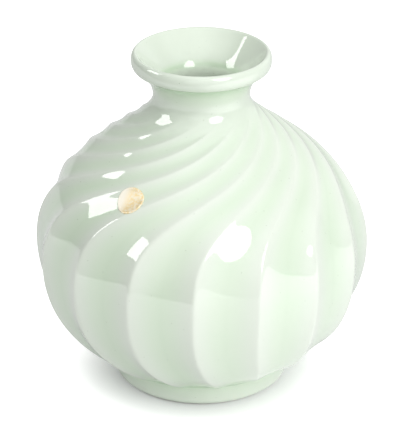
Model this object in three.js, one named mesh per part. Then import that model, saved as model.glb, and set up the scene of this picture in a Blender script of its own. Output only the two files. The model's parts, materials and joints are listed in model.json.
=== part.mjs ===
// Celadon vase: one slip-cast, glazed ball vase with swirled flutes, and the round foil seal on its shoulder.
// Millimetres, +Z up. The origin is the middle of the foot's base, and the front of the vase is towards -Y.
import * as THREE from 'three';

const { degToRad, smoothstep, lerp } = THREE.MathUtils;

// Outline over the ridges that stand between the flutes
const HEIGHT = 157; // table to the top of the lip
const BELLY_RADIUS = 75.2; // widest ring
const BELLY_HEIGHT = 65; // table to the widest ring
const NECK_RADIUS = 21.6; // outside of the neck at its narrowest
const NECK_DROP = 20; // top of the lip down to the narrowest ring
const SHOULDER_FULLNESS = 0.61; // share of the shoulder's rise that its belly end reaches for
const NECK_EASE = 0.21; // share of the shoulder's rise that its neck end reaches for
const BOWL_FULLNESS = 0.63; // share of the bowl's rise that its belly end reaches for
const BOWL_SPREAD = 0.25; // share of the bowl's width that its foot end reaches for
const BOWL_LIFT = 0.09; // share of the bowl's rise that its foot end reaches for

// Foot: a plain ring with a round lower edge, which widens upwards to a shallow ledge under the flutes
const FOOT_RADIUS = 35; // outside of the flat band that stands on the table
const FOOT_BAND = 5.6; // width of that band
const FOOT_EDGE = 0.8; // softened inner edge of the band
const FOOT_ROUND_WIDTH = 4.6; // round lower edge outside the band
const FOOT_ROUND_HEIGHT = 4;
const FOOT_HEIGHT = 11.4;
const FOOT_FLARE = 2.7; // how much wider the ring gets from its round edge up to its top
const FOOT_RECESS = 4; // hollow under the vase, inside the ring
const LEDGE_WIDTH = 2; // overhang of the ridges past the foot's top
const LEDGE_RISE = 0.6;

// Flared mouth with a rounded lip, which stands over the neck as a collar
const LIP_RADIUS = 31.2; // outside of the lip
const LIP_HEIGHT = 7.2; // of its oval section
const LIP_THICKNESS = 3.6; // of that section
const LIP_UNDER = degToRad(76); // where the neck's flare meets the lip, below its middle
const LIP_INSIDE = degToRad(58); // where the mouth's inside leaves the lip, above its middle
const FLARE_EASE = 6; // upright run of the flare above the neck
const FLARE_REACH = 4.5; // straight run of the flare up to the lip
const MOUTH_EASE = 7; // upright run of the mouth's inside above the neck
const MOUTH_REACH = 15; // straight run of the mouth's inside up to the lip

// Wall
const WALL = 4.4; // thickness in the hollow of a flute and at the neck
const FLOOR_THICKNESS = 6; // over the recess, at the middle
const FLOOR_TURN = 0.3; // share of the bowl's curve, from the foot, that the floor's curve takes up inside

// Flutes: concave channels with a sharp ridge between them
const FLUTE_COUNT = 16;
const FLUTE_DEPTH = 2.9; // at the belly
const FLUTE_PHASE = degToRad(-3); // azimuth of one ridge at the belly
const SWIRL_RATE = degToRad(4.2); // turn of the ridges for each millimetre of height, on the upper shoulder
const SWIRL_START = 40.5; // height above the belly from which the ridges turn at that rate
const SWIRL_EASE = 7.9; // height over which the turn sets in
const FOOT_SWEEP = degToRad(13); // turn of the ridges between the belly and the foot
const FOOT_SWEEP_POWER = 3.3; // how late that turn comes
const SHOULDER_DEPTH = 0.75; // share of the depth that is left on the upper shoulder
const SHOULDER_FADE_START = 0.24; // share of the shoulder's rise from which the flutes get shallower
const SHOULDER_FADE_END = 0.65; // and at which they have that depth
const FLUTE_FADE_BELOW_NECK = 12; // the flutes begin to fade this far under the narrowest ring
const FLUTE_END_BELOW_NECK = 3; // and end here
const FOOT_END_DEPTH = 0.55; // share of the depth that is left where the flutes meet the foot
const FOOT_END_LENGTH = 24; // height over which the depth falls to that share

// Foil seal: a thin disc pressed on to the left of the front, over one flute and its ridge
const SEAL_DIAMETER = 12.7;
const SEAL_THICKNESS = 0.4;
const SEAL_GAP = 0.3; // gum under the foil
const SEAL_AZIMUTH = degToRad(-34.2);
const SEAL_CLIMB = 47; // way up the shoulder from the belly to the seal's middle

// Number of facets
const COLUMNS_PER_FLUTE = 5;
const FOOT_ROUND_RINGS = 3;
const BOWL_RINGS = 9;
const SHOULDER_RINGS = 20;
const FLARE_RINGS = 5;
const LIP_OUTER_RINGS = 5;
const LIP_INNER_RINGS = 3;
const MOUTH_RINGS = 6;
const INNER_SHOULDER_RINGS = 9;
const INNER_BOWL_RINGS = 3;
const FLOOR_RINGS = 4;
const SEAL_RINGS = 7;
const SEAL_SPOKES = 40;

const COLUMNS = FLUTE_COUNT * COLUMNS_PER_FLUTE;
const FLUTE_PITCH = 2 * Math.PI / FLUTE_COUNT;
const NECK_HEIGHT = HEIGHT - NECK_DROP;
const FOOT_TOP_RADIUS = FOOT_RADIUS + FOOT_ROUND_WIDTH + FOOT_FLARE;
const BOWL_FOOT_RADIUS = FOOT_TOP_RADIUS + LEDGE_WIDTH;
const BOWL_FOOT_HEIGHT = FOOT_HEIGHT + LEDGE_RISE;
const FLOOR_HEIGHT = FOOT_RECESS + FLOOR_THICKNESS;

// Curves of the outline, in the plane of radius and height

// Bowl from the flutes' foot out to the upright belly
function bowlCurve() {
  const rise = BELLY_HEIGHT - BOWL_FOOT_HEIGHT;
  const spread = BOWL_SPREAD * (BELLY_RADIUS - BOWL_FOOT_RADIUS);
  return new THREE.CubicBezierCurve(
    new THREE.Vector2(BOWL_FOOT_RADIUS, BOWL_FOOT_HEIGHT),
    new THREE.Vector2(BOWL_FOOT_RADIUS + spread, BOWL_FOOT_HEIGHT + BOWL_LIFT * rise),
    new THREE.Vector2(BELLY_RADIUS, BELLY_HEIGHT - BOWL_FULLNESS * rise),
    new THREE.Vector2(BELLY_RADIUS, BELLY_HEIGHT),
  );
}

// Shoulder from the upright belly in to the upright neck
function shoulderCurve() {
  const rise = NECK_HEIGHT - BELLY_HEIGHT;
  return new THREE.CubicBezierCurve(
    new THREE.Vector2(BELLY_RADIUS, BELLY_HEIGHT),
    new THREE.Vector2(BELLY_RADIUS, BELLY_HEIGHT + SHOULDER_FULLNESS * rise),
    new THREE.Vector2(NECK_RADIUS, NECK_HEIGHT - NECK_EASE * rise),
    new THREE.Vector2(NECK_RADIUS, NECK_HEIGHT),
  );
}

// Stretch of the oval lip between two angles, counted from its outermost point over the top
function lipCurve(start, end) {
  const halfWidth = LIP_THICKNESS / 2;
  const halfHeight = LIP_HEIGHT / 2;
  return new THREE.EllipseCurve(
    LIP_RADIUS - halfWidth, HEIGHT - halfHeight, halfWidth, halfHeight, start, end,
  );
}

// Run between an upright stretch of the neck and the end of the lip that it flows into
function flareCurve(neckRadius, ease, lipEnd, lipDirection, reach) {
  return new THREE.CubicBezierCurve(
    new THREE.Vector2(neckRadius, NECK_HEIGHT),
    new THREE.Vector2(neckRadius, NECK_HEIGHT + ease),
    lipEnd.clone().addScaledVector(lipDirection, -reach),
    lipEnd,
  );
}

function neckFlare(lip) {
  return flareCurve(NECK_RADIUS, FLARE_EASE, lip.getPoint(0), lip.getTangent(0), FLARE_REACH);
}

function mouthFlare(lip) {
  const upwards = lip.getTangent(1).negate();
  return flareCurve(NECK_RADIUS - WALL, MOUTH_EASE, lip.getPoint(1), upwards, MOUTH_REACH);
}

const bowl = bowlCurve();
const shoulder = shoulderCurve();
const lipOutside = lipCurve(-LIP_UNDER, Math.PI / 2);
const lipInside = lipCurve(Math.PI / 2, Math.PI - LIP_INSIDE);
const flare = neckFlare(lipOutside);
const mouth = mouthFlare(lipInside);

// Flutes

// Turn of the ridges at a height: upright at the belly, a steady spiral above, a short sweep at the foot
function twistAt(height) {
  const above = (height - BELLY_HEIGHT - SWIRL_START) / SWIRL_EASE;
  const below = Math.max(0, (BELLY_HEIGHT - height) / (BELLY_HEIGHT - BOWL_FOOT_HEIGHT));
  return SWIRL_RATE * SWIRL_EASE * Math.log1p(Math.exp(above)) + FOOT_SWEEP * below ** FOOT_SWEEP_POWER;
}

// Slope of the ridges against the upright direction, on a ring of the outline
function leanAt(point, tangent) {
  const step = tangent.y;
  return Math.atan(Math.abs(point.x * (twistAt(point.y + step) - twistAt(point.y))));
}

// Depth of the flutes on a ring: in proportion to their width, less on the shoulder and at both ends
function depthAt(point, tangent) {
  const width = point.x / BELLY_RADIUS * Math.cos(leanAt(point, tangent));
  const below = NECK_HEIGHT - point.y;
  const neckFade = smoothstep(below, FLUTE_END_BELOW_NECK, FLUTE_FADE_BELOW_NECK);
  const footFade = smoothstep(point.y, BOWL_FOOT_HEIGHT, BOWL_FOOT_HEIGHT + FOOT_END_LENGTH);
  const climb = (point.y - BELLY_HEIGHT) / (NECK_HEIGHT - BELLY_HEIGHT);
  const shoulderFade = smoothstep(climb, SHOULDER_FADE_START, SHOULDER_FADE_END);
  const share = neckFade * lerp(FOOT_END_DEPTH, 1, footFade) * lerp(1, SHOULDER_DEPTH, shoulderFade);
  return FLUTE_DEPTH * width * share;
}

// Share of the depth across one flute, from 0 on a ridge to 1 in the middle of the hollow
function hollow(across) {
  return 4 * across * (1 - across);
}

// A ring of the fluted wall, with the direction into the wall
function flutedRing(curve, along) {
  const point = curve.getPointAt(along);
  const tangent = curve.getTangentAt(along);
  return {
    point,
    inward: new THREE.Vector2(-tangent.y, tangent.x),
    depth: depthAt(point, tangent),
    twist: twistAt(point.y),
  };
}

// Rings of the vase, from the middle of the underside over the lip to the middle of the floor inside

function plainRing(point, twist) {
  return { point, inward: new THREE.Vector2(-1, 0), depth: 0, twist };
}

function plainRings(points, twist) {
  return points.map((point) => plainRing(point, twist));
}

// Quarter round from the flat band on the table up to the foot's wall
function footRoundCurve() {
  const { PI } = Math;
  return new THREE.EllipseCurve(
    FOOT_RADIUS, FOOT_ROUND_HEIGHT, FOOT_ROUND_WIDTH, FOOT_ROUND_HEIGHT, -PI / 2, 0,
  );
}

// Underside and foot, up to the corner beneath the ledge
function footPoints() {
  const bandInside = FOOT_RADIUS - FOOT_BAND;
  const ringInside = bandInside - FOOT_EDGE;
  return [
    new THREE.Vector2(0, FOOT_RECESS),
    new THREE.Vector2(ringInside - FOOT_EDGE, FOOT_RECESS),
    new THREE.Vector2(ringInside, FOOT_EDGE),
    new THREE.Vector2(bandInside, 0),
    ...footRoundCurve().getPoints(FOOT_ROUND_RINGS),
    new THREE.Vector2(FOOT_TOP_RADIUS, FOOT_HEIGHT),
  ];
}

function flutedRings() {
  const rings = [];
  for (let index = 0; index < BOWL_RINGS; index += 1) {
    rings.push(flutedRing(bowl, index / BOWL_RINGS));
  }
  for (let index = 0; index <= SHOULDER_RINGS; index += 1) {
    rings.push(flutedRing(shoulder, index / SHOULDER_RINGS));
  }
  return rings;
}

// Point of the inside that keeps the wall's thickness behind the hollow of the flutes
function innerPoint(curve, along) {
  const { point, inward, depth } = flutedRing(curve, along);
  return point.addScaledVector(inward, WALL + depth);
}

// Inside of the wall, from under the neck down to where the floor begins
function innerPoints() {
  const points = [];
  for (let index = INNER_SHOULDER_RINGS - 1; index >= 0; index -= 1) {
    points.push(innerPoint(shoulder, index / INNER_SHOULDER_RINGS));
  }
  for (let index = INNER_BOWL_RINGS - 1; index >= 0; index -= 1) {
    points.push(innerPoint(bowl, lerp(FLOOR_TURN, 1, index / INNER_BOWL_RINGS)));
  }
  return points;
}

// Floor inside, a curve that goes on from the wall and levels out on the axis
function floorPoints(wallEnd) {
  const downwards = bowl.getTangentAt(FLOOR_TURN).negate();
  const run = (FLOOR_HEIGHT - wallEnd.y) / downwards.y;
  const turn = wallEnd.clone().addScaledVector(downwards, run);
  const curve = new THREE.QuadraticBezierCurve(wallEnd, turn, new THREE.Vector2(0, FLOOR_HEIGHT));
  return curve.getPoints(FLOOR_RINGS).slice(1);
}

function vaseRings() {
  const fluted = flutedRings();
  const footTwist = fluted[0].twist;
  const neckTwist = fluted[fluted.length - 1].twist;
  const wall = innerPoints();
  return [
    ...plainRings(footPoints(), footTwist),
    ...fluted,
    ...plainRings(flare.getPoints(FLARE_RINGS).slice(1), neckTwist),
    ...plainRings(lipOutside.getPoints(LIP_OUTER_RINGS).slice(1), neckTwist),
    ...plainRings(lipInside.getPoints(LIP_INNER_RINGS).slice(1), neckTwist),
    ...plainRings(mouth.getPoints(MOUTH_RINGS).reverse().slice(1), neckTwist),
    ...plainRings(wall, neckTwist),
    ...plainRings(floorPoints(wall[wall.length - 1]), neckTwist),
  ];
}

// Point in space at a radius, height and azimuth, with azimuth 0 at the front
function place(radius, height, azimuth) {
  return new THREE.Vector3(radius * Math.sin(azimuth), -radius * Math.cos(azimuth), height);
}

// The rings turned into one closed shell, with its columns laid along the ridges
function vaseGeometry() {
  const rings = vaseRings();
  const geometry = new THREE.LatheGeometry(rings.map((ring) => ring.point), COLUMNS);
  const position = geometry.getAttribute('position');
  for (let index = 0; index < position.count; index += 1) {
    const column = Math.floor(index / rings.length) % COLUMNS;
    const { point, inward, depth, twist } = rings[index % rings.length];
    const across = (column % COLUMNS_PER_FLUTE) / COLUMNS_PER_FLUTE;
    const cut = point.clone().addScaledVector(inward, depth * hollow(across));
    const vertex = place(cut.x, cut.y, FLUTE_PHASE + column / COLUMNS * 2 * Math.PI + twist);
    position.setXYZ(index, vertex.x, vertex.y, vertex.z);
  }
  return geometry;
}

// Point on the fluted shoulder, beside and above the seal's middle, lifted off the glaze
function shoulderPoint(beside, above, lift) {
  const along = (SEAL_CLIMB + above) / shoulder.getLength();
  const { point, inward, depth, twist } = flutedRing(shoulder, along);
  const azimuth = SEAL_AZIMUTH + beside / point.x;
  const across = (azimuth - FLUTE_PHASE - twist) / FLUTE_PITCH;
  const cut = depth * hollow(across - Math.floor(across));
  const surface = point.clone().addScaledVector(inward, cut - lift);
  return place(surface.x, surface.y, azimuth);
}

// Thin disc that follows the flutes: a lathed disc whose points are laid on the shoulder
function sealGeometry() {
  const radius = SEAL_DIAMETER / 2;
  const bottom = SEAL_GAP;
  const top = SEAL_GAP + SEAL_THICKNESS;
  const outline = [];
  for (let ring = 0; ring <= SEAL_RINGS; ring += 1) {
    outline.push(new THREE.Vector2(radius * ring / SEAL_RINGS, bottom));
  }
  for (let ring = SEAL_RINGS; ring >= 0; ring -= 1) {
    outline.push(new THREE.Vector2(radius * ring / SEAL_RINGS, top));
  }
  const geometry = new THREE.LatheGeometry(outline, SEAL_SPOKES);
  const position = geometry.getAttribute('position');
  for (let index = 0; index < position.count; index += 1) {
    const spoke = Math.floor(index / outline.length) % SEAL_SPOKES;
    const angle = spoke / SEAL_SPOKES * 2 * Math.PI;
    const { x: reach, y: lift } = outline[index % outline.length];
    const vertex = shoulderPoint(reach * Math.cos(angle), reach * Math.sin(angle), lift);
    position.setXYZ(index, vertex.x, vertex.y, vertex.z);
  }
  return geometry;
}

function subPart(name, geometry, finish) {
  const mesh = new THREE.Mesh(geometry, new THREE.MeshStandardMaterial(finish));
  mesh.name = name;
  return mesh;
}

const CELADON_GLAZE = { color: 0xd0e3cb, roughness: 0.1, metalness: 0 };
const GOLD_FOIL = { color: 0xe0b566, roughness: 0.35, metalness: 0.9 };

const vase = new THREE.Group();
vase.add(subPart('vase_body', vaseGeometry(), CELADON_GLAZE));
vase.add(subPart('foil_seal', sealGeometry(), GOLD_FOIL));

export default vase;
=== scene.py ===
"""Celadon vase: a slip-cast ball vase with swirled, concave flutes and a round gold foil seal.

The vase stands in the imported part's own frame: metres, +Z up, the front towards -Y. Its sizes are
written in millimetres and degrees, as they are on a potter's drawing, and scaled when a mesh is
made. The sizes of the studio are in metres and degrees.
"""

from __future__ import annotations

import json
import logging
import math
from dataclasses import dataclass
from enum import Enum
from typing import Sequence

import bpy
import numpy as np
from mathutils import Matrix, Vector

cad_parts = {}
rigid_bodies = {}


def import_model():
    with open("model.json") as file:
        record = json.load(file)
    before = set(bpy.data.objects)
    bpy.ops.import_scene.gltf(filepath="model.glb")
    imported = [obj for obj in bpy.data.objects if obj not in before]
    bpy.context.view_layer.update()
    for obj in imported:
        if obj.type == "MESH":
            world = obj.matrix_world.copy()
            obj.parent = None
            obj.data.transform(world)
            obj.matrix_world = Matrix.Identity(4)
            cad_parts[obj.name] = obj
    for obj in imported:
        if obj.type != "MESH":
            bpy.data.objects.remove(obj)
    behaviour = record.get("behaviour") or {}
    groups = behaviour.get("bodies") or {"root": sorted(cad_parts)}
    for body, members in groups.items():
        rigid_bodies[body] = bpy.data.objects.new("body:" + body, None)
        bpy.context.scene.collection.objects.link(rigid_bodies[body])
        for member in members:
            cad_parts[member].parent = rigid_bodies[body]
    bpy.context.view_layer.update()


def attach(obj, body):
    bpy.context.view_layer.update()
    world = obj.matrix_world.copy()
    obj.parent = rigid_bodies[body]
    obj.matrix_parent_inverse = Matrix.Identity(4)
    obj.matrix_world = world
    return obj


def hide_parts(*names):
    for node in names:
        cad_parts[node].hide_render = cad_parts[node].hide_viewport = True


LOG = logging.getLogger("celadon_vase")

MM = 0.001  # metres in a millimetre
BODY = "root"  # the one rigid body of the part
POOL_AND_SHADE_ATTRIBUTE = "glaze_pool_and_shade"  # glaze thickness with painted light and shade, from 0 where the glaze is scant and lit to 1 in a shaded corner
PAINTED_HIGHLIGHT_ATTRIBUTE = "foil_painted_highlight"  # painted highlight on the foil, from 0 where it shows its gold to 1 where it is painted pale
EVEN_GLAZE = 0.35  # thickness of the glaze on a plain wall
POOLED_GLAZE = 0.65  # and where it has run together
CURVE_SAMPLES = 400  # points along a curve before they are spaced evenly
SEAL_SAMPLES = 600  # points along the shoulder that the seal lies on
HALF = 0.5
OUTWARDS, DOWN, INWARDS = 0, -90, 180  # places on an oval section, in degrees

Colour = tuple[float, float, float]
Point = tuple[float, float]
Socket = bpy.types.NodeSocket

UNIT: Point = (0, 1)
WHITE: Colour = (1.0, 1.0, 1.0)


# Outline curves, as rows of radius and height in millimetres


def bezier(count: int, *points: Point) -> np.ndarray:
    """Sample a cubic Bezier curve.

    Args:
        count: how many points to return, both ends included.
        points: its four control points.

    Returns:
        The points, spaced evenly along the curve.
    """
    t = np.linspace(0, 1, CURVE_SAMPLES)[:, None]
    a, b, c, d = (np.array(point, float) for point in points)
    curve = (1 - t) ** 3 * a + 3 * t * (1 - t) ** 2 * b + 3 * t**2 * (1 - t) * c + t**3 * d
    return spaced(curve, count)


def arc(centre: Point, half_axes: Point, start: float, end: float, count: int) -> np.ndarray:
    """Sample an arc of an ellipse.

    Args:
        centre: middle of the ellipse.
        half_axes: half its width and half its height.
        start: first angle in degrees, counted from its outermost point upwards.
        end: last angle in degrees.
        count: how many points to return, both ends included.

    Returns:
        The points, spaced evenly along the arc.
    """
    angles = np.radians(np.linspace(start, end, CURVE_SAMPLES))
    curve = np.stack([np.cos(angles), np.sin(angles)], axis=1) * half_axes + np.array(centre)
    return spaced(curve, count)


def bend(first: np.ndarray, corner: np.ndarray, last: np.ndarray, count: int) -> np.ndarray:
    """Sample a bend, which sets out towards a corner and comes in from it.

    Args:
        first: where the bend begins.
        corner: the corner.
        last: where the bend ends.
        count: how many points to return, both ends included.

    Returns:
        The points.
    """
    t = np.linspace(0, 1, count)[:, None]
    return (1 - t) ** 2 * first + 2 * t * (1 - t) * corner + t**2 * last


def way_along(curve: np.ndarray) -> np.ndarray:
    """Way along a curve to each of its points, from 0 at the first."""
    return np.concatenate([[0], np.cumsum(np.linalg.norm(np.diff(curve, axis=0), axis=1))])


def read_off(stops: np.ndarray, way: np.ndarray, rows: np.ndarray) -> np.ndarray:
    """Read pairs of values off a curve.

    Args:
        stops: where to read, as way along the curve.
        way: way along the curve to each of its points.
        rows: the pair of values at each of its points.

    Returns:
        The pair of values at each stop.
    """
    return np.stack([np.interp(stops, way, column) for column in rows.T], axis=1)


def spaced(curve: np.ndarray, count: int) -> np.ndarray:
    """Space a curve's points evenly along it.

    Args:
        curve: points that follow the curve closely.
        count: how many points to return, both ends included.

    Returns:
        The evenly spaced points.
    """
    way = way_along(curve)
    return read_off(np.linspace(0, way[-1], count), way, curve)


def filleted(corners: Sequence[tuple[float, float, float]], steps: int) -> np.ndarray:
    """Round the corners of a chain of straight runs.

    Args:
        corners: radius, height and fillet radius of each corner, in order.
        steps: points along each fillet.

    Returns:
        The chain's points.
    """
    chain = [np.array(corners[0][:2])]
    for before, corner, after in zip(corners, corners[1:], corners[2:]):
        middle = np.array(corner[:2])
        back = np.array(before[:2]) - middle
        ahead = np.array(after[:2]) - middle
        back /= np.linalg.norm(back)
        ahead /= np.linalg.norm(ahead)
        half = math.acos(float(np.clip(back @ ahead, -1, 1))) / 2
        reach = corner[2] / math.tan(half)
        chain.extend(bend(middle + back * reach, middle, middle + ahead * reach, steps))
    chain.append(np.array(corners[-1][:2]))
    return np.array(chain)


def tangents(curve: np.ndarray) -> np.ndarray:
    """Unit direction of a curve at each of its points."""
    direction = np.gradient(curve, axis=0)
    return direction / np.linalg.norm(direction, axis=1, keepdims=True)


def smoothstep(value: np.ndarray, low: float, high: float) -> np.ndarray:
    """Rise smoothly from 0 at low to 1 at high."""
    t = np.clip((value - low) / (high - low), 0, 1)
    return t * t * (3 - 2 * t)


def place(radius: np.ndarray, height: np.ndarray, azimuth: np.ndarray) -> np.ndarray:
    """Points in space round the axis of the vase.

    Args:
        radius: distance from the axis in millimetres.
        height: height over the table in millimetres.
        azimuth: angle in radians, 0 at the front and growing to the right.

    Returns:
        Coordinates in metres.
    """
    return np.stack([radius * np.sin(azimuth), -radius * np.cos(azimuth), height], axis=-1) * MM


def towards(azimuth: float, elevation: float) -> Vector:
    """Unit direction from the vase.

    Args:
        azimuth: in degrees, 0 at the front and growing to the right.
        elevation: in degrees over the table.

    Returns:
        The direction.
    """
    turn, rise = math.radians(azimuth), math.radians(elevation)
    level = math.cos(rise)
    return Vector((math.sin(turn) * level, -math.cos(turn) * level, math.sin(rise)))


# Finishes


class NodeKind(Enum):
    """Shader nodes that the finishes are made of."""

    ATTRIBUTE = "ShaderNodeAttribute"
    BACKGROUND = "ShaderNodeBackground"
    BUMP = "ShaderNodeBump"
    COORDINATES = "ShaderNodeTexCoord"
    GROUP = "ShaderNodeGroup"
    GROUP_INPUT = "NodeGroupInput"
    GROUP_OUTPUT = "NodeGroupOutput"
    LIGHT_PATH = "ShaderNodeLightPath"
    MATH = "ShaderNodeMath"
    MIX = "ShaderNodeMix"
    NOISE = "ShaderNodeTexNoise"
    OUTPUT = "ShaderNodeOutputMaterial"
    PRINCIPLED = "ShaderNodeBsdfPrincipled"
    RAMP = "ShaderNodeValToRGB"
    RANGE = "ShaderNodeMapRange"
    VECTOR_MATH = "ShaderNodeVectorMath"
    VORONOI = "ShaderNodeTexVoronoi"
    WORLD_OUTPUT = "ShaderNodeOutputWorld"


class Sum(Enum):
    """Sums that are done with values."""

    ADD = "ADD"
    LESS_THAN = "LESS_THAN"
    MAXIMUM = "MAXIMUM"
    MULTIPLY = "MULTIPLY"
    MULTIPLY_ADD = "MULTIPLY_ADD"
    SUBTRACT = "SUBTRACT"


class VectorSum(Enum):
    """Sums that are done with a vector."""

    DOT_PRODUCT = "DOT_PRODUCT"
    LENGTH = "LENGTH"
    NORMALIZE = "NORMALIZE"


class Rise(Enum):
    """How a value climbs from one end of its range to the other."""

    EVEN = "LINEAR"
    EASED = "SMOOTHSTEP"


class MixSocket(Enum):
    """Places of a colour mix's sockets among all sockets of its node."""

    SHARE = 0
    FIRST = 6
    SECOND = 7
    RESULT = 2


class NodeSheet:
    """A node tree with short calls for adding and joining its nodes."""

    def __init__(self, tree: bpy.types.NodeTree) -> None:
        """Take over an empty tree, of a material, a group or the world."""
        self.tree = tree

    def add(self, kind: NodeKind, **settings: object) -> bpy.types.Node:
        """Add a node.

        Args:
            kind: which node.
            settings: values of the node's own properties.

        Returns:
            The new node.
        """
        node = self.tree.nodes.new(kind.value)
        for name, value in settings.items():
            setattr(node, name, value)
        return node

    def join(self, source: Socket, target: Socket) -> None:
        """Link an output socket to an input socket."""
        self.tree.links.new(source, target)

    def work_out(self, operation: Sum, *terms: Socket | float, clamp: bool = False) -> Socket:
        """Do a sum.

        Args:
            operation: which sum.
            terms: its terms in order, each a socket or a number.
            clamp: whether the result is held between 0 and 1.

        Returns:
            The result.
        """
        node = self.add(NodeKind.MATH, operation=operation.value, use_clamp=clamp)
        for term, target in zip(terms, node.inputs):
            if isinstance(term, Socket):
                self.join(term, target)
            else:
                target.default_value = term
        return node.outputs[0]

    def vector(self, operation: VectorSum, given: Socket) -> bpy.types.Node:
        """Do a sum with a vector.

        Args:
            operation: which sum.
            given: the vector.

        Returns:
            The node, whose second input is still free.
        """
        node = self.add(NodeKind.VECTOR_MATH, operation=operation.value)
        self.join(given, node.inputs[0])
        return node

    def stretch(
        self, source: Socket, from_range: Point, to_range: Point, rise: Rise = Rise.EVEN
    ) -> Socket:
        """Map a value from one range to another, held at the ends.

        Args:
            source: the value.
            from_range: the range it comes in.
            to_range: the range it goes out in.
            rise: how it climbs between the ends.

        Returns:
            The mapped value.
        """
        node = self.add(NodeKind.RANGE, interpolation_type=rise.value)
        self.join(source, node.inputs["Value"])
        for way, ends in (("From", from_range), ("To", to_range)):
            for name, end in zip(("Min", "Max"), ends):
                node.inputs[f"{way} {name}"].default_value = end
        return node.outputs["Result"]

    def blend(self, share: Socket, first: Socket | Colour, second: Socket | Colour) -> Socket:
        """Mix two colours.

        Args:
            share: how much of the second colour shows.
            first: a colour, or the socket that gives it.
            second: a colour, or the socket that gives it.

        Returns:
            The mixed colour.
        """
        node = self.add(NodeKind.MIX, data_type="RGBA")
        self.join(share, node.inputs[MixSocket.SHARE.value])
        for place_of, colour in ((MixSocket.FIRST, first), (MixSocket.SECOND, second)):
            target = node.inputs[place_of.value]
            if isinstance(colour, Socket):
                self.join(colour, target)
            else:
                target.default_value = (*colour, 1)
        return node.outputs[MixSocket.RESULT.value]

    def patch(
        self, heading: Socket, azimuth: float, elevation: float, reach: float, level: float
    ) -> Socket:
        """Give a value to a round patch of directions, which fades towards its edge.

        Args:
            heading: the direction that is asked about.
            azimuth: azimuth of the patch's middle, in degrees.
            elevation: elevation of its middle, in degrees.
            reach: angle from its middle to its edge, in degrees.
            level: the value in its middle.

        Returns:
            The value in the direction.
        """
        side = self.vector(VectorSum.DOT_PRODUCT, heading)
        side.inputs[1].default_value = towards(azimuth, elevation)
        edge = math.cos(math.radians(reach))
        return self.stretch(side.outputs["Value"], (edge, 1), (0, level), Rise.EASED)

    def in_view(self) -> Socket:
        """Mask the rays that come from the camera, straight or through glass."""
        rays = self.add(NodeKind.LIGHT_PATH).outputs
        return self.work_out(Sum.MAXIMUM, rays["Is Camera Ray"], rays["Is Transmission Ray"])

    def effect(self, kind: type[Effect], **values: float) -> bpy.types.Node:
        """Place an effect's node group.

        Args:
            kind: the effect.
            values: its inputs, by name.

        Returns:
            The group node.
        """
        node = self.add(NodeKind.GROUP, node_tree=kind.group())
        for name, value in values.items():
            node.inputs[name].default_value = value
        return node

    def raise_relief(self, height: Socket, rise: float, shader: bpy.types.Node) -> None:
        """Give a surface a fine relief.

        Args:
            height: the relief, from 0 to 1.
            rise: how high it stands, in metres.
            shader: the surface's shader.
        """
        bump = self.add(NodeKind.BUMP)
        bump.inputs["Distance"].default_value = rise
        self.join(height, bump.inputs["Height"])
        self.join(bump.outputs["Normal"], shader.inputs["Normal"])


@dataclass
class GroupSheet:
    """The nodes that the group of every effect begins with."""

    sheet: NodeSheet
    given: bpy.types.Node  # the group's inputs
    result: bpy.types.Node  # the group's outputs
    where: Socket  # place on the piece
    noise: Socket  # cloudy noise at the group's scale


class Effect:
    """An effect that more than one finish uses, as a shader node group that is made once."""

    NAME: str
    INPUTS: tuple[str, ...]
    OUTPUTS: tuple[str, ...]
    DETAIL: float  # of the noise

    @classmethod
    def group(cls) -> bpy.types.NodeTree:
        """Give the effect's node group.

        Returns:
            A group with the effect's named inputs and outputs.
        """
        found = bpy.data.node_groups.get(cls.NAME)
        if found:
            return found
        tree = bpy.data.node_groups.new(cls.NAME, "ShaderNodeTree")
        for side, names in (("INPUT", cls.INPUTS), ("OUTPUT", cls.OUTPUTS)):
            for name in names:
                tree.interface.new_socket(name, in_out=side, socket_type="NodeSocketFloat")
        sheet = NodeSheet(tree)
        given = sheet.add(NodeKind.GROUP_INPUT)
        result = sheet.add(NodeKind.GROUP_OUTPUT)
        where = sheet.add(NodeKind.COORDINATES).outputs["Object"]
        noise = sheet.add(NodeKind.NOISE)
        noise.inputs["Detail"].default_value = cls.DETAIL
        sheet.join(where, noise.inputs["Vector"])
        sheet.join(given.outputs["Scale"], noise.inputs["Scale"])
        cls.wire(GroupSheet(sheet, given, result, where, noise.outputs[0]))
        return tree

    @classmethod
    def wire(cls, start: GroupSheet) -> None:
        """Make the nodes between a group's noise and its outputs."""
        raise NotImplementedError


class MottleEffect(Effect):
    """Slow clouds: glaze that lies thicker here and thinner there, foil scuffed in patches."""

    NAME = "slow_mottle"
    INPUTS = ("Scale", "Contrast")
    OUTPUTS = ("Mask",)
    DETAIL = 3.0

    @classmethod
    def wire(cls, start: GroupSheet) -> None:
        """Spread the noise about its middle.

        Args:
            start: the group's first nodes.
        """
        sheet, contrast = start.sheet, start.given.outputs["Contrast"]
        centred = sheet.work_out(Sum.SUBTRACT, start.noise, HALF)
        mask = sheet.work_out(Sum.MULTIPLY_ADD, centred, contrast, HALF, clamp=True)
        sheet.join(mask, start.result.inputs["Mask"])


class GrainEffect(Effect):
    """Fine, even grain: pinholes in glaze, the tooth of bare clay, the tooling of foil."""

    NAME = "fine_grain"
    INPUTS = ("Scale", "Size")
    OUTPUTS = ("Height", "Specks")
    DETAIL = 2.0

    @classmethod
    def wire(cls, start: GroupSheet) -> None:
        """Put out the noise as a height, and specks of a given size.

        Args:
            start: the group's first nodes.
        """
        sheet, given, result = start.sheet, start.given.outputs, start.result.inputs
        sheet.join(start.noise, result["Height"])
        cells = sheet.add(NodeKind.VORONOI)
        sheet.join(start.where, cells.inputs["Vector"])
        sheet.join(given["Scale"], cells.inputs["Scale"])
        specks = sheet.work_out(Sum.LESS_THAN, cells.outputs["Distance"], given["Size"])
        sheet.join(specks, result["Specks"])


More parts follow.
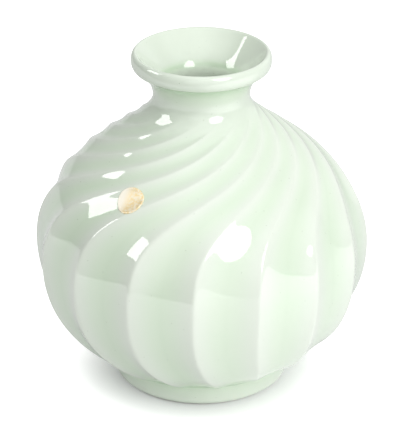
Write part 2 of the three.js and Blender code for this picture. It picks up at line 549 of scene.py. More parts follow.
def new_material(name: str) -> tuple[bpy.types.Material, NodeSheet, bpy.types.Node]:
    """Start a material with a Principled shader joined to its output.

    Args:
        name: the finish's name.

    Returns:
        The material, its node sheet and the Principled shader.
    """
    material = bpy.data.materials.new(name)
    material.use_nodes = True
    material.node_tree.nodes.clear()
    sheet = NodeSheet(material.node_tree)
    shader = sheet.add(NodeKind.PRINCIPLED)
    output = sheet.add(NodeKind.OUTPUT)
    sheet.join(shader.outputs["BSDF"], output.inputs["Surface"])
    return material, sheet, shader


@dataclass(frozen=True)
class CeladonGlaze:
    """Glossy, pale green glaze: milky on the ridges, deeper green in the flutes and darkest in
    corners, partly from glaze thickness and partly from painted light and shade.
    """

    name: str = "celadon_glaze"
    # paler on the ridges: scant glaze, with painted light on them
    thin_and_lit: Colour = (0.765, 0.82, 0.735)
    full: Colour = (0.73, 0.814, 0.70)
    # darker green in the flute hollows: gathered glaze, with painted shade in them
    pooled_and_shaded: Colour = (0.675, 0.80, 0.635)
    # darkest green, in the groove over the foot, under the lip and in the throat: painted shade,
    # with some glaze gathered there
    deep_and_shade: Colour = (0.44, 0.65, 0.40)
    cloud_tint: Colour = (0.735, 0.805, 0.685)
    index: float = 1.85
    cloud_scale: float = 22.0
    cloud_contrast: float = 2.2
    cloud_share: float = 0.35
    gloss: Point = (0.035, 0.065)
    ripple_scale: float = 45.0
    ripple_height: float = 0.00006
    pinhole_scale: float = 260.0
    pinhole_size: float = 0.045
    pinhole_tint: Colour = (0.45, 0.53, 0.40)

    def material(self) -> bpy.types.Material:
        """Make the glaze's material.

        Returns:
            The material, which reads the glaze thickness and painted shade that the vase's mesh
            carries.
        """
        material, sheet, shader = new_material(self.name)
        # glaze colour by thickness, with painted light on the ridges and painted shade in the
        # hollows and corners
        pool = sheet.add(NodeKind.ATTRIBUTE, attribute_name=POOL_AND_SHADE_ATTRIBUTE)
        ramp = sheet.add(NodeKind.RAMP)
        stops = ramp.color_ramp.elements
        stops[0].color = (*self.thin_and_lit, 1)
        stops[1].color = (*self.deep_and_shade, 1)
        stops.new(EVEN_GLAZE).color = (*self.full, 1)
        stops.new(POOLED_GLAZE).color = (*self.pooled_and_shaded, 1)
        sheet.join(pool.outputs["Fac"], ramp.inputs["Fac"])

        mottle = sheet.effect(MottleEffect, Scale=self.cloud_scale, Contrast=self.cloud_contrast)
        clouds = mottle.outputs["Mask"]
        share = sheet.stretch(clouds, UNIT, (0, self.cloud_share))
        tinted = sheet.blend(share, ramp.outputs["Color"], self.cloud_tint)
        pinholes = sheet.effect(GrainEffect, Scale=self.pinhole_scale, Size=self.pinhole_size)
        speckled = sheet.blend(pinholes.outputs["Specks"], tinted, self.pinhole_tint)
        sheet.join(speckled, shader.inputs["Base Color"])
        sheet.join(sheet.stretch(clouds, UNIT, self.gloss), shader.inputs["Roughness"])
        shader.inputs["IOR"].default_value = self.index
        ripple = sheet.effect(GrainEffect, Scale=self.ripple_scale, Size=0.0)
        sheet.raise_relief(ripple.outputs["Height"], self.ripple_height, shader)
        return material


@dataclass(frozen=True)
class BareClay:
    """Fired stoneware where the glaze was wiped off the foot ring."""

    name: str = "bare_clay"
    pale: Colour = (0.66, 0.60, 0.50)
    dark: Colour = (0.52, 0.45, 0.36)
    roughness: float = 0.85
    patch_scale: float = 90.0
    patch_contrast: float = 3.0
    tooth_scale: float = 1600.0
    tooth_height: float = 0.0001
    grog_size: float = 0.2
    grog_tint: Colour = (0.36, 0.30, 0.24)

    def material(self) -> bpy.types.Material:
        """Make the clay's material.

        Returns:
            The material.
        """
        material, sheet, shader = new_material(self.name)
        patches = sheet.effect(MottleEffect, Scale=self.patch_scale, Contrast=self.patch_contrast)
        tone = sheet.blend(patches.outputs["Mask"], self.pale, self.dark)
        tooth = sheet.effect(GrainEffect, Scale=self.tooth_scale, Size=self.grog_size)
        speckled = sheet.blend(tooth.outputs["Specks"], tone, self.grog_tint)
        sheet.join(speckled, shader.inputs["Base Color"])
        shader.inputs["Roughness"].default_value = self.roughness
        sheet.raise_relief(tooth.outputs["Height"], self.tooth_height, shader)
        return material


@dataclass(frozen=True)
class GoldFoil:
    """Thin gold foil on paper, scuffed pale in patches, with a painted highlight that pales it
    towards one side.
    """

    name: str = "gold_foil"
    gold: Colour = (0.98, 0.80, 0.44)
    # pale colour of scuffed foil, also used for the painted highlight
    rubbed_and_highlight: Colour = (0.98, 0.93, 0.80)
    patch_scale: float = 1100.0
    patch_contrast: float = 5.0
    patch_share: float = 0.7
    metallic: Point = (0.5, 0.1)  # where it is whole, and where it is scuffed off or painted pale as a highlight
    roughness: Point = (0.36, 0.45)
    tooling_scale: float = 2200.0
    tooling_height: float = 0.00006
    fleck_size: float = 0.3
    fleck_tint: Colour = (0.94, 0.69, 0.35)

    def material(self) -> bpy.types.Material:
        """Make the foil's material.

        Returns:
            The material, which reads the painted highlight that the seal's mesh carries.
        """
        material, sheet, shader = new_material(self.name)
        mottle = sheet.effect(MottleEffect, Scale=self.patch_scale, Contrast=self.patch_contrast)
        patches = sheet.stretch(mottle.outputs["Mask"], UNIT, (0, self.patch_share))
        # painted highlight: the foil is painted pale towards its left side
        side = sheet.add(NodeKind.ATTRIBUTE, attribute_name=PAINTED_HIGHLIGHT_ATTRIBUTE)
        # scuffed patches and the painted highlight both turn the foil pale
        wear_and_highlight = sheet.work_out(Sum.MAXIMUM, patches, side.outputs["Fac"])
        tooling = sheet.effect(GrainEffect, Scale=self.tooling_scale, Size=self.fleck_size)
        flecked = sheet.blend(tooling.outputs["Specks"], self.gold, self.fleck_tint)
        sheet.join(sheet.blend(wear_and_highlight, flecked, self.rubbed_and_highlight), shader.inputs["Base Color"])
        sheet.join(sheet.stretch(wear_and_highlight, UNIT, self.metallic), shader.inputs["Metallic"])
        sheet.join(sheet.stretch(wear_and_highlight, UNIT, self.roughness), shader.inputs["Roughness"])
        sheet.raise_relief(tooling.outputs["Height"], self.tooling_height, shader)
        return material


# Pieces


class Zone(Enum):
    """Finish of a stretch of a piece's surface, by material slot."""

    MAIN = 0
    BARE_CLAY = 1


def closed_piece(
    name: str, grid: np.ndarray, carried: str, values: np.ndarray, zones: Sequence[Zone]
) -> bpy.types.Object:
    """Make a piece out of rings that shrink to a point at each end.

    Args:
        name: the piece's name.
        grid: points in metres, ring by ring, where the first and the last ring are one point.
        carried: name of the value that the mesh carries for its finish.
        values: that value at each point of the grid, from 0 to 1.
        zones: finish of each band between two rings.

    Returns:
        The object, linked to the scene.
    """
    count, columns = grid.shape[:2]
    vertices = np.concatenate([grid[:1, 0], grid[1:-1].reshape(-1, 3), grid[-1:, 0]])
    held = np.concatenate([values[:1, 0], values[1:-1].ravel(), values[-1:, 0]])
    first_band, last_band, end = 0, count - 2, len(vertices) - 1
    faces: list[tuple[int, ...]] = []
    for band in range(count - 1):
        low, high = 1 + (band - 1) * columns, 1 + band * columns
        for column in range(columns):
            after = (column + 1) % columns
            if band == first_band:
                faces.append((0, high + after, high + column))
            elif band == last_band:
                faces.append((low + column, low + after, end))
            else:
                faces.append((low + column, low + after, high + after, high + column))
    mesh = bpy.data.meshes.new(name)
    mesh.from_pydata(vertices.tolist(), [], faces)
    slots = np.repeat([zone.value for zone in zones], columns)
    mesh.polygons.foreach_set("material_index", slots.tolist())
    mesh.polygons.foreach_set("use_smooth", [True] * len(faces))
    attribute = mesh.attributes.new(carried, "FLOAT", "POINT")
    attribute.data.foreach_set("value", np.clip(held, 0, 1).astype(np.float32))
    mesh.update()
    piece = bpy.data.objects.new(name, mesh)
    bpy.context.scene.collection.objects.link(piece)
    return piece


@dataclass
class Rings:
    """Rings of the vase's surface, a row each, from the underside over the lip to the floor."""

    points: np.ndarray  # radius and height over the ridges
    inward: np.ndarray  # direction into the wall
    depth: np.ndarray  # depth of the flutes
    twist: np.ndarray  # turn of the ridges in radians
    pool: np.ndarray  # glaze thickness with painted light and shade, from 0 where the glaze is scant and lit to 1 in a shaded corner

    @classmethod
    def plain(cls, points: np.ndarray, twist: float, pool: float | np.ndarray) -> Rings:
        """Rings with no flutes.

        Args:
            points: radius and height of each ring.
            twist: turn of their columns.
            pool: thickness of the glaze on them, with any painted shade.

        Returns:
            The rings.
        """
        count = len(points)
        inward = np.tile([-1.0, 0.0], (count, 1))
        return cls(points, inward, np.zeros(count), np.full(count, twist), np.full(count, pool))

    @classmethod
    def chain(cls, stretches: Sequence[Rings]) -> Rings:
        """Join stretches of rings in order."""
        names = ("points", "inward", "depth", "twist", "pool")
        return cls(*(np.concatenate([getattr(part, name) for part in stretches]) for name in names))


@dataclass
class VaseBody:
    """The fired vase: foot ring, fluted bowl and shoulder, neck with a collared lip, the inside."""

    height: float = 157
    belly_radius: float = 75.2
    belly_height: float = 65
    neck_radius: float = 21.6
    neck_drop: float = 20
    shoulder_fullness: float = 0.61
    neck_ease: float = 0.21
    bowl_fullness: float = 0.63
    bowl_spread: float = 0.25
    bowl_lift: float = 0.09

    foot_radius: float = 35
    foot_band: float = 5.6
    foot_edge: float = 0.8
    foot_round_width: float = 4.6
    foot_round_height: float = 4
    foot_height: float = 11.4
    foot_flare: float = 2.7
    foot_recess: float = 4
    recess_fillet: float = 1.5
    groove_fillet: float = 0.5
    ledge_width: float = 2
    ledge_rise: float = 0.6

    lip_radius: float = 31.2
    lip_height: float = 7.2
    lip_thickness: float = 3.6
    lip_under: float = 76
    lip_inside: float = 58
    flare_ease: float = 6
    flare_reach: float = 4.5
    mouth_ease: float = 7
    mouth_reach: float = 15

    groove_pool_and_shade: float = 5  # reach of the glaze that has run into the groove over the foot, and of the painted shade there
    lip_shade: float = 16  # reach of the painted shade under the lip
    throat_pool_and_shade: float = 3.5  # reach of the gathered glaze and painted shade in the throat
    # how far the flute hollows are darkened and the ridges paled: glaze thickness with painted
    # light and shade
    pool_and_shade_in_flutes: float = 0.65
    pool_and_shade_depth: float = 1  # depth at which a flute holds its full glaze thickness and painted shade

    wall: float = 4.4
    floor_thickness: float = 6
    floor_turn: float = 0.3

    flute_count: int = 16
    flute_depth: float = 2.9
    flute_phase: float = -3
    swirl_rate: float = 4.2
    swirl_start: float = 40.5
    swirl_ease: float = 7.9
    foot_sweep: float = 13
    foot_sweep_power: float = 3.3
    shoulder_depth: float = 0.75
    shoulder_fade: Point = (0.24, 0.65)
    flute_fade_below_neck: float = 12
    flute_end_below_neck: float = 3
    foot_end_depth: float = 0.55
    foot_end_length: float = 24
    ridge_softness: Point = (0.12, 0.3)  # at the belly and on the upper shoulder

    columns_per_flute: int = 18
    column_crowding: float = 0.75
    foot_round_rings: int = 12
    bowl_rings: int = 60
    shoulder_rings: int = 120
    flare_rings: int = 24
    lip_rings: int = 34
    mouth_rings: int = 28
    inner_shoulder_rings: int = 28
    inner_bowl_rings: int = 12
    floor_rings: int = 10
    fillet_steps: int = 5

    @property
    def neck_height(self) -> float:
        """Height of the narrowest ring."""
        return self.height - self.neck_drop

    @property
    def foot_top_radius(self) -> float:
        """Radius of the foot under the ridges."""
        return self.foot_radius + self.foot_round_width + self.foot_flare

    @property
    def bowl_foot(self) -> Point:
        """Radius and height at which the ridges end over the foot."""
        return self.foot_top_radius + self.ledge_width, self.foot_height + self.ledge_rise

    @property
    def pitch(self) -> float:
        """Angle from one ridge to the next, in radians."""
        return 2 * math.pi / self.flute_count

    @property
    def lip_half_axes(self) -> Point:
        """Half the width and half the height of the lip's oval section."""
        return self.lip_thickness / 2, self.lip_height / 2

    @property
    def lip_middle(self) -> Point:
        """Middle of the lip's oval section."""
        half_width, half_height = self.lip_half_axes
        return self.lip_radius - half_width, self.height - half_height

    @property
    def lip_ends(self) -> Point:
        """Places of the lip's ends on its oval section, below and inside, in degrees."""
        return OUTWARDS - self.lip_under, INWARDS - self.lip_inside

    def bowl(self, count: int) -> np.ndarray:
        """Outline from the flutes' foot out to the belly.

        Args:
            count: how many points to return.

        Returns:
            The points, from the foot up.
        """
        radius, height = self.bowl_foot
        rise = self.belly_height - height
        spread = self.bowl_spread * (self.belly_radius - radius)
        return bezier(
            count,
            (radius, height),
            (radius + spread, height + self.bowl_lift * rise),
            (self.belly_radius, self.belly_height - self.bowl_fullness * rise),
            (self.belly_radius, self.belly_height),
        )

    def shoulder(self, count: int) -> np.ndarray:
        """Outline from the belly in to the neck.

        Args:
            count: how many points to return.

        Returns:
            The points, from the belly up.
        """
        rise = self.neck_height - self.belly_height
        return bezier(
            count,
            (self.belly_radius, self.belly_height),
            (self.belly_radius, self.belly_height + self.shoulder_fullness * rise),
            (self.neck_radius, self.neck_height - self.neck_ease * rise),
            (self.neck_radius, self.neck_height),
        )

    def lip(self) -> np.ndarray:
        """Outline of the lip, from its underside over the top to the inside."""
        return arc(self.lip_middle, self.lip_half_axes, *self.lip_ends, self.lip_rings)

    def flare(
        self, neck_radius: float, ease: float, lip_angle: float, reach: float, count: int
    ) -> np.ndarray:
        """Outline between the upright neck and one end of the lip.

        Args:
            neck_radius: radius of the neck, outside or inside.
            ease: upright run above the neck.
            lip_angle: place of the lip's end on its oval section, in degrees.
            reach: straight run up to the lip.
            count: how many points to return.

        Returns:
            The points, from the neck up.
        """
        turn = math.radians(lip_angle)
        half_axes = np.array(self.lip_half_axes)
        end = np.array(self.lip_middle) + half_axes * (math.cos(turn), math.sin(turn))
        along = half_axes * (-math.sin(turn), math.cos(turn))
        upwards = along * math.copysign(1 / np.linalg.norm(along), along[1])
        return bezier(
            count,
            (neck_radius, self.neck_height),
            (neck_radius, self.neck_height + ease),
            tuple(end - upwards * reach),
            tuple(end),
        )

    def foot(self) -> np.ndarray:
        """Outline of the underside and the foot.

        Returns:
            The points, from the middle out and up to the corner under the ridges.
        """
        inside = self.foot_radius - self.foot_band - self.foot_edge
        underside = (
            (0, self.foot_recess, 0),
            (inside - self.foot_edge, self.foot_recess, self.recess_fillet),
            (inside + self.foot_edge / 2, 0, self.foot_edge),
            (self.foot_radius, 0, 0),
        )
        centre = (self.foot_radius, self.foot_round_height)
        half_axes = (self.foot_round_width, self.foot_round_height)
        edge = arc(centre, half_axes, DOWN, OUTWARDS, self.foot_round_rings)
        groove = (
            (*edge[-1], 0),
            (self.foot_top_radius, self.foot_height, self.groove_fillet),
            (*self.bowl_foot, 0),
        )
        below, above = (filleted(chain, self.fillet_steps) for chain in (underside, groove))
        return np.concatenate([below[:-1], edge[:-1], above[:-1]])

    def twist(self, height: np.ndarray) -> np.ndarray:
        """Turn of the ridges: none at the belly, a spiral above, a short sweep at the foot.

        Args:
            height: heights over the table.

        Returns:
            The turn at each height, in radians.
        """
        above = (height - self.belly_height - self.swirl_start) / self.swirl_ease
        below = (self.belly_height - height) / (self.belly_height - self.bowl_foot[1])
        swirl = self.swirl_rate * self.swirl_ease * np.log1p(np.exp(above))
        sweep = self.foot_sweep * np.clip(below, 0, None) ** self.foot_sweep_power
        return np.radians(swirl + sweep)

    def on_shoulder(self, height: np.ndarray) -> np.ndarray:
        """How far a height is into the upper shoulder, from 0 to 1."""
        climb = (height - self.belly_height) / (self.neck_height - self.belly_height)
        return smoothstep(climb, *self.shoulder_fade)

    def depth(self, points: np.ndarray, direction: np.ndarray) -> np.ndarray:
        """Depth of the flutes, which goes with their width and fades at the neck and the foot.

        Args:
            points: points of the outline.
            direction: unit direction of the outline there.

        Returns:
            The depth at each point.
        """
        radius, height = points.T
        turn = self.twist(height + direction[:, 1]) - self.twist(height)
        width = radius / self.belly_radius * np.cos(np.arctan(np.abs(radius * turn)))
        below_neck = self.neck_height - height
        neck_share = smoothstep(below_neck, self.flute_end_below_neck, self.flute_fade_below_neck)
        foot_top = self.bowl_foot[1]
        foot_fade = smoothstep(height, foot_top, foot_top + self.foot_end_length)
        foot_share = self.foot_end_depth + (1 - self.foot_end_depth) * foot_fade
        shoulder_share = 1 - (1 - self.shoulder_depth) * self.on_shoulder(height)
        return self.flute_depth * width * neck_share * foot_share * shoulder_share

    def hollow(self, across: np.ndarray, height: np.ndarray) -> np.ndarray:
        """Cross-section of a flute, with the ridge softened as glaze softens it.

        Args:
            across: way across the flute, from 0 on one ridge to 1 on the next.
            height: height over the table.

        Returns:
            Share of the depth, from 0 on a ridge to 1 in the middle.
        """
        share = 4 * across * (1 - across)
        sharp, blunt = self.ridge_softness
        soft = sharp + (blunt - sharp) * self.on_shoulder(height)
        return (np.sqrt(share**2 + soft**2) - soft) / (np.sqrt(1 + soft**2) - soft)

    def pool_and_shade_near(self, points: np.ndarray, corner: Point, reach: float) -> np.ndarray:
        """Thickness of the glaze near a corner that it has run into, with painted shade in that
        corner.

        Args:
            points: points of the outline.
            corner: the corner.
            reach: distance from the corner at which the glaze is even again.

        Returns:
            The thickness at each point, even far from the corner and 1 in it.
        """
        near = 1 - smoothstep(np.linalg.norm(points - np.asarray(corner), axis=1), 0, reach)
        return EVEN_GLAZE + (1 - EVEN_GLAZE) * near

    def fluted(self, points: np.ndarray) -> Rings:
        """Rings of the fluted wall.

        Args:
            points: outline over the ridges.

        Returns:
            The rings, with the flutes' depth and turn.
        """
        direction = tangents(points)
        inward = np.stack([-direction[:, 1], direction[:, 0]], axis=1)
        depth = self.depth(points, direction)
        pool = self.pool_and_shade_near(points, self.bowl_foot, self.groove_pool_and_shade)
        return Rings(points, inward, depth, self.twist(points[:, 1]), pool)

    def inner_wall(self) -> np.ndarray:
        """Inside of the wall.

        Returns:
            The points, from under the neck down to where the floor's curve begins.
        """
        outlines = (self.bowl(self.inner_bowl_rings), self.shoulder(self.inner_shoulder_rings))
        bowl, shoulder = (
            rings.points + rings.inward * (self.wall + rings.depth)[:, None]
            for rings in map(self.fluted, outlines)
        )
        skipped = round(self.floor_turn * self.inner_bowl_rings)
        return np.concatenate([bowl[skipped:-1], shoulder[:-1]])[::-1]

    def inner_floor(self, wall_end: np.ndarray, before: np.ndarray) -> np.ndarray:
        """Curve of the floor inside, which goes on from the wall and levels out on the axis.

        Args:
            wall_end: lowest point of the inner wall.
            before: the point above it.

        Returns:
            The points after the wall's end, as far as the axis.
        """
        level = self.foot_recess + self.floor_thickness
        slope = (wall_end - before) / (wall_end - before)[1]
        corner = wall_end + slope * (level - wall_end[1])
        return bend(wall_end, corner, np.array([0, level]), self.floor_rings)[1:]

    def rings(self) -> Rings:
        """All rings of the surface.

        Returns:
            The rings, from the middle of the underside to the middle of the floor inside.
        """
        outside = (self.bowl(self.bowl_rings)[:-1], self.shoulder(self.shoulder_rings))
        flutes = self.fluted(np.concatenate(outside))
        foot_twist, neck_twist = flutes.twist[0], flutes.twist[-1]
        radius, bore = self.neck_radius, self.neck_radius - self.wall
        below, inside = self.lip_ends
        neck = self.flare(radius, self.flare_ease, below, self.flare_reach, self.flare_rings)
        mouth = self.flare(bore, self.mouth_ease, inside, self.mouth_reach, self.mouth_rings)
        under_lip, throat = tuple(neck[-1]), (bore, self.neck_height + self.mouth_ease)
        foot, flare, funnel = self.foot(), neck[1:-1], mouth[::-1][1:]
        wall = self.inner_wall()
        floor = self.inner_floor(wall[-1], wall[-2])
        # painted shade in the groove over the foot, with glaze gathered there
        foot_pool_and_shade = self.pool_and_shade_near(foot, self.bowl_foot, self.groove_pool_and_shade)
        # painted shade under the lip's overhang
        under_lip_shade = self.pool_and_shade_near(flare, under_lip, self.lip_shade)
        # painted shade in the throat, with glaze gathered there
        funnel_pool_and_shade = self.pool_and_shade_near(funnel, throat, self.throat_pool_and_shade)
        return Rings.chain(
            (
                Rings.plain(foot, foot_twist, foot_pool_and_shade),
                flutes,
                Rings.plain(flare, neck_twist, under_lip_shade),
                Rings.plain(self.lip(), neck_twist, EVEN_GLAZE),
                Rings.plain(funnel, neck_twist, funnel_pool_and_shade),
                Rings.plain(wall, neck_twist, EVEN_GLAZE),
                Rings.plain(floor, neck_twist, POOLED_GLAZE),
            )
        )

    def columns(self) -> tuple[np.ndarray, np.ndarray]:
        """Columns round the vase, crowded towards the ridges.

        Returns:
            The azimuth of each column before the swirl, in radians, and its way across its flute.
        """
        even = np.arange(self.columns_per_flute) / self.columns_per_flute
        across = even - self.column_crowding * np.sin(2 * math.pi * even) / (2 * math.pi)
        flutes = np.arange(self.flute_count)[:, None] + across[None, :]
        azimuth = math.radians(self.flute_phase) + flutes.ravel() * self.pitch
        return azimuth, np.tile(across, self.flute_count)

    def build(self) -> bpy.types.Object:
        """Make the vase's mesh.

        Returns:
            The object, linked to the scene.
        """
        rings = self.rings()
        azimuth, across = self.columns()
        heights = rings.points[:, 1]
        hollow = self.hollow(across[None, :], rings.points[:, 1:])
        cut = rings.depth[:, None] * hollow
        radius = rings.points[:, :1] + rings.inward[:, :1] * cut
        height = rings.points[:, 1:] + rings.inward[:, 1:] * cut
        grid = place(radius, height, azimuth[None, :] + rings.twist[:, None])
        # flute hollows darker and ridges paler: glaze thickness, with painted shade in the hollows
        # and painted light on the ridges
        fluted = smoothstep(rings.depth, 0, self.pool_and_shade_depth)[:, None]
        pool = rings.pool[:, None] + fluted * (hollow - HALF) * self.pool_and_shade_in_flutes
        wiped = np.maximum(heights[:-1], heights[1:]) < self.foot_edge / 2
        zones = [Zone.BARE_CLAY if bare else Zone.MAIN for bare in wiped]
        return closed_piece("celadon_vase", grid, POOL_AND_SHADE_ATTRIBUTE, pool, zones)

    def dress(self, piece: bpy.types.Object, glaze: CeladonGlaze, clay: BareClay) -> None:
        """Glaze the vase and leave its foot ring bare, and set it in the frame.

        Args:
            piece: the vase.
            glaze: finish of all but the foot ring's base.
            clay: finish of that base.
        """
        piece.data.materials.append(glaze.material())
        piece.data.materials.append(clay.material())
        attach(piece, BODY)
        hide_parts("vase_body")

    def shoulder_surface(
        self, beside: np.ndarray, along: np.ndarray, azimuth: float, lift: np.ndarray
    ) -> np.ndarray:
        """Points on the fluted shoulder, lifted off the glaze.

        Args:
            beside: way round the vase from an azimuth, in millimetres.
            along: way up the shoulder from the belly, in millimetres.
            azimuth: that azimuth in radians.
            lift: height over the glaze in millimetres.

        Returns:
            Coordinates in metres.
        """
        fine = self.shoulder(SEAL_SAMPLES)
        way = way_along(fine)
        points = read_off(along, way, fine)
        direction = read_off(along, way, tangents(fine))
        turned = azimuth + beside / points[:, 0]
        phase = math.radians(self.flute_phase)
        across = (turned - phase - self.twist(points[:, 1])) / self.pitch % 1
        cut = self.depth(points, direction) * self.hollow(across, points[:, 1]) - lift
        radius = points[:, 0] - direction[:, 1] * cut
        height = points[:, 1] + direction[:, 0] * cut
        return place(radius, height, turned)


@dataclass
class FoilSeal:
    """Round foil seal, pressed on over a flute and its ridge, with an embossed rim."""

    diameter: float = 12.7
    thickness: float = 0.22
    gum: float = 0.08
    azimuth: float = -34.2
    climb: float = 47
    rim_width: float = 0.9
    rim_rise: float = 0.12
    rim_ease: float = 0.5  # way over which the rim rises
    rim_fall: Point = (0.45, 0.1)  # ways from the edge between which it falls again
    edge_softness: float = 0.1
    painted_highlight_span: Point = (-1.0, 4.5)  # way to the left over which a painted highlight pales the foil
    rings: int = 26
    spokes: int = 96

    def section(self) -> np.ndarray:
        """Half of the disc's section.

        Returns:
            Reach from its middle and lift off the glaze at each ring, from below to above.
        """
        radius = self.diameter / 2
        low, high = self.gum, self.gum + self.thickness
        reach = np.linspace(0, radius - self.edge_softness, self.rings)
        inner = radius - self.rim_width
        fall = smoothstep(reach, *(radius - way for way in self.rim_fall))
        rise = smoothstep(reach, inner - self.rim_ease, inner) * (1 - fall)
        under = np.stack([reach, np.full(self.rings, low)], axis=1)
        edge = np.array([[radius, low + self.edge_softness], [radius, high - self.edge_softness]])
        over = np.stack([reach, high + self.rim_rise * rise], axis=1)[::-1]
        return np.concatenate([under, edge, over])

    def build(self, vase: VaseBody) -> bpy.types.Object:
        """Make the seal's mesh on the vase.

        Args:
            vase: the vase that it is pressed on.

        Returns:
            The object, linked to the scene.
        """
        section = self.section()
        angles = np.arange(self.spokes) / self.spokes * 2 * math.pi
        reach, lift = section[:, :1], np.repeat(section[:, 1], self.spokes)
        beside, above = reach * np.cos(angles), reach * np.sin(angles)
        points = vase.shoulder_surface(
            beside.ravel(), self.climb + above.ravel(), math.radians(self.azimuth), lift
        )
        grid = points.reshape(len(section), self.spokes, 3)
        # painted highlight, paling the foil towards its left side
        painted_highlight = smoothstep(-beside, *self.painted_highlight_span)
        zones = [Zone.MAIN] * (len(section) - 1)
        return closed_piece("gold_seal", grid, PAINTED_HIGHLIGHT_ATTRIBUTE, painted_highlight, zones)

    def dress(self, piece: bpy.types.Object, foil: GoldFoil) -> None:
        """Give the seal its foil and set it in the frame.

        Args:
            piece: the seal.
            foil: its finish.
        """
        piece.data.materials.append(foil.material())
        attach(piece, BODY)
        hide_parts("foil_seal")


# Studio


class LampShape(Enum):
    """Outline of a lamp's face."""

    RECTANGLE = "RECTANGLE"
    ELLIPSE = "ELLIPSE"


@dataclass(frozen=True)
class Softbox:
    """A soft lamp with an even, white face, aimed at the vase."""

    name: str
    shape: LampShape
    azimuth: float
    elevation: float
    width: float
    height: float
    brightness: float  # of its face, where 1 is white
    distance: float = 1.2

    @property
    def area(self) -> float:
        """Area of the lamp's face."""
        box = self.width * self.height
        return box * math.pi / 4 if self.shape is LampShape.ELLIPSE else box

    def build(self, aim: Vector) -> bpy.types.Object:
        """Make the lamp.

        Args:
            aim: the point that it faces.

        Returns:
            The lamp's object.
        """
        lamp = bpy.data.lights.new(self.name, "AREA")
        lamp.shape = self.shape.value
        lamp.size, lamp.size_y = self.width, self.height
        lamp.energy = self.brightness * math.pi * self.area  # watts that give that brightness
        holder = bpy.data.objects.new(self.name, lamp)
        away = towards(self.azimuth, self.elevation)
        holder.location = aim + away * self.distance
        holder.rotation_euler = (-away).to_track_quat("-Z", "Y").to_euler()
        bpy.context.scene.collection.objects.link(holder)
        return holder


@dataclass(frozen=True)
class WhiteTable:
    """White table top, with one edge so near that the lower flutes mirror it."""

    name: str = "white_table"
    width: float = 3.2
    depth: float = 3.0
    edge_distance: float = 0.33  # from the vase's axis
    edge_azimuth: float = -30.0  # straight from the vase to the edge
    # colour of the side that is painted lighter, as if lit
    colour: Colour = (0.84, 0.84, 0.85)
    # colour away from that side, painted darker
    painted_dim_colour: Colour = (0.79, 0.79, 0.80)
    roughness: float = 0.9
    whitening: Point = (0.08, 0.75)  # added where the table is seen, so that it is white
    white_span: Point = (0.034, 0.07)  # way from the vase's axis over which it whitens
    bright_azimuth: float = 50.0  # side on which the table's colour is painted lighter
    bright_reach: float = 60.0  # angle from there to where it is dim
    painted_reflection: Point = (0.3, 0.9)  # painted reflection: light that only glossy rays see, on the side painted lighter
    mirror_span: Point = (0.04, 0.25)  # way from the vase's axis over which that rises

    def build(self) -> bpy.types.Object:
        """Make the table top, level with the base of the vase.

        Returns:
            The object, which belongs to the stage and not to the part.
        """
        turn = math.radians(self.edge_azimuth)
        out = np.array([math.sin(turn), -math.cos(turn), 0])
        along = np.array([math.cos(turn), math.sin(turn), 0]) * self.width / 2
        near, far = out * self.edge_distance, out * (self.edge_distance - self.depth)
        mesh = bpy.data.meshes.new(self.name)
        corners = [near - along, near + along, far + along, far - along]
        mesh.from_pydata([corner.tolist() for corner in corners], [], [(0, 1, 2, 3)])
        mesh.materials.append(self.material())
        top = bpy.data.objects.new(self.name, mesh)
        bpy.context.scene.collection.objects.link(top)
        return top

    def material(self) -> bpy.types.Material:
        """Make the table's material.

        Returns:
            The material, which adds light where the table is seen, and a painted reflection where
            the vase reflects it.
        """
        material, sheet, shader = new_material(self.name)
        shader.inputs["Roughness"].default_value = self.roughness
        where = sheet.add(NodeKind.COORDINATES).outputs["Object"]
        away = sheet.vector(VectorSum.LENGTH, where).outputs["Value"]
        heading = sheet.vector(VectorSum.NORMALIZE, where).outputs["Vector"]
        # painted light: the table's colour is lighter towards one side
        painted_light_side = sheet.patch(heading, self.bright_azimuth, 0, self.bright_reach, 1)
        sheet.join(sheet.blend(painted_light_side, self.painted_dim_colour, self.colour), shader.inputs["Base Color"])
        whiter = sheet.stretch(away, self.white_span, self.whitening, Rise.EASED)
        seen = sheet.work_out(Sum.MULTIPLY, sheet.in_view(), whiter)
        # painted reflection: emission seen only by glossy rays
        farther = sheet.stretch(away, self.mirror_span, self.painted_reflection)
        brighter = sheet.work_out(Sum.MULTIPLY, painted_light_side, farther)
        glossy = sheet.add(NodeKind.LIGHT_PATH).outputs["Is Glossy Ray"]
        painted_reflection = sheet.work_out(Sum.MULTIPLY, glossy, brighter)
        shader.inputs["Emission Color"].default_value = (*WHITE, 1)
        light = sheet.work_out(Sum.ADD, seen, painted_reflection)
        sheet.join(light, shader.inputs["Emission Strength"])
        return material


@dataclass(frozen=True)
class Glow:
    """A soft patch of light on the walls or the ceiling of the room."""

    azimuth: float
    elevation: float
    reach: float  # from its middle to where it has faded, in degrees
    level: float  # in its middle, where 1 is white

    def strength(self, sheet: NodeSheet, heading: Socket) -> Socket:
        """Work out the patch's light in a direction."""
        return sheet.patch(heading, self.azimuth, self.elevation, self.reach, self.level)


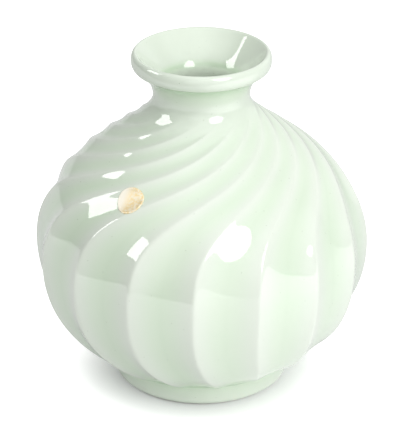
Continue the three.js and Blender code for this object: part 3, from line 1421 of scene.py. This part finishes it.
@dataclass(frozen=True)
class Room:
    """Dim light of the room round the table, whose walls are white where they are in view."""

    name: str = "room"
    level: float = 0.025
    glows: tuple[Glow, ...] = (
        Glow(60, 10, 55, 0.64),
        Glow(150, 12, 55, 0.65),
        Glow(10, 8, 45, 0.92),
        Glow(-22, 46, 50, 0.44),
        Glow(45, 60, 50, 0.46),
        Glow(0, 90, 60, 0.64),
        Glow(125, 25, 50, 0.38),
        Glow(-160, 12, 50, 0.34),
    )

    def build(self) -> None:
        """Make the room's light."""
        world = bpy.data.worlds.new(self.name)
        bpy.context.scene.world = world
        world.use_nodes = True
        world.node_tree.nodes.clear()
        sheet = NodeSheet(world.node_tree)
        heading = sheet.add(NodeKind.COORDINATES).outputs["Generated"]
        total: Socket | float = self.level
        for glow in self.glows:
            total = sheet.work_out(Sum.ADD, glow.strength(sheet, heading), total)
        shown = sheet.work_out(Sum.MAXIMUM, total, sheet.in_view())
        light = sheet.add(NodeKind.BACKGROUND)
        light.inputs["Color"].default_value = (*WHITE, 1)
        sheet.join(shown, light.inputs["Strength"])
        output = sheet.add(NodeKind.WORLD_OUTPUT)
        sheet.join(light.outputs["Background"], output.inputs["Surface"])


@dataclass
class Studio:
    """White table, two soft lamps, a dim room and the camera."""

    aim: tuple[float, float, float] = (-0.00063, 0.0, 0.07576)
    camera_distance: float = 1.2
    camera_elevation: float = 25.51
    lens: float = 218.8
    sensor: float = 36.0
    table: WhiteTable = WhiteTable()
    room: Room = Room()
    softboxes: tuple[Softbox, ...] = (
        Softbox("front_right_umbrella", LampShape.ELLIPSE, 34.5, 28.5, 0.58, 0.68, 4.1),
        Softbox("left_box", LampShape.RECTANGLE, -87, 29.5, 0.46, 0.47, 4.4),
    )

    def camera(self) -> bpy.types.Object:
        """Make the camera at the photograph's angle.

        Returns:
            The camera's object, which the scene looks through.
        """
        data = bpy.data.cameras.new("camera")
        data.sensor_width = self.sensor
        data.lens = self.lens
        holder = bpy.data.objects.new("camera", data)
        bpy.context.scene.collection.objects.link(holder)
        rise = math.radians(self.camera_elevation)
        back = Vector((0, -math.cos(rise), math.sin(rise))) * self.camera_distance
        holder.location = Vector(self.aim) + back
        holder.rotation_euler = (-back).to_track_quat("-Z", "Y").to_euler()
        bpy.context.scene.camera = holder
        return holder

    def build(self) -> None:
        """Set up the table, the lamps, the room's light and the camera."""
        self.camera()
        self.table.build()
        self.room.build()
        for softbox in self.softboxes:
            softbox.build(Vector(self.aim))
            LOG.info("lamp %s", softbox.name)
        bpy.context.scene.view_settings.view_transform = "Standard"


def clear_scene() -> None:
    """Take away what a new file starts with."""
    for item in list(bpy.data.objects):
        bpy.data.objects.remove(item)


def main() -> None:
    """Build the vase, its seal and the studio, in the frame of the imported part."""
    logging.basicConfig(level=logging.INFO, format="%(name)s: %(message)s")
    clear_scene()
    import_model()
    Studio().build()
    body = VaseBody()
    vase = body.build()
    body.dress(vase, CeladonGlaze(), BareClay())
    LOG.info("piece %s, %d faces", vase.name, len(vase.data.polygons))
    seal = FoilSeal()
    foil = seal.build(body)
    seal.dress(foil, GoldFoil())
    LOG.info("piece %s, %d faces", foil.name, len(foil.data.polygons))


if __name__ == "__main__":
    main()
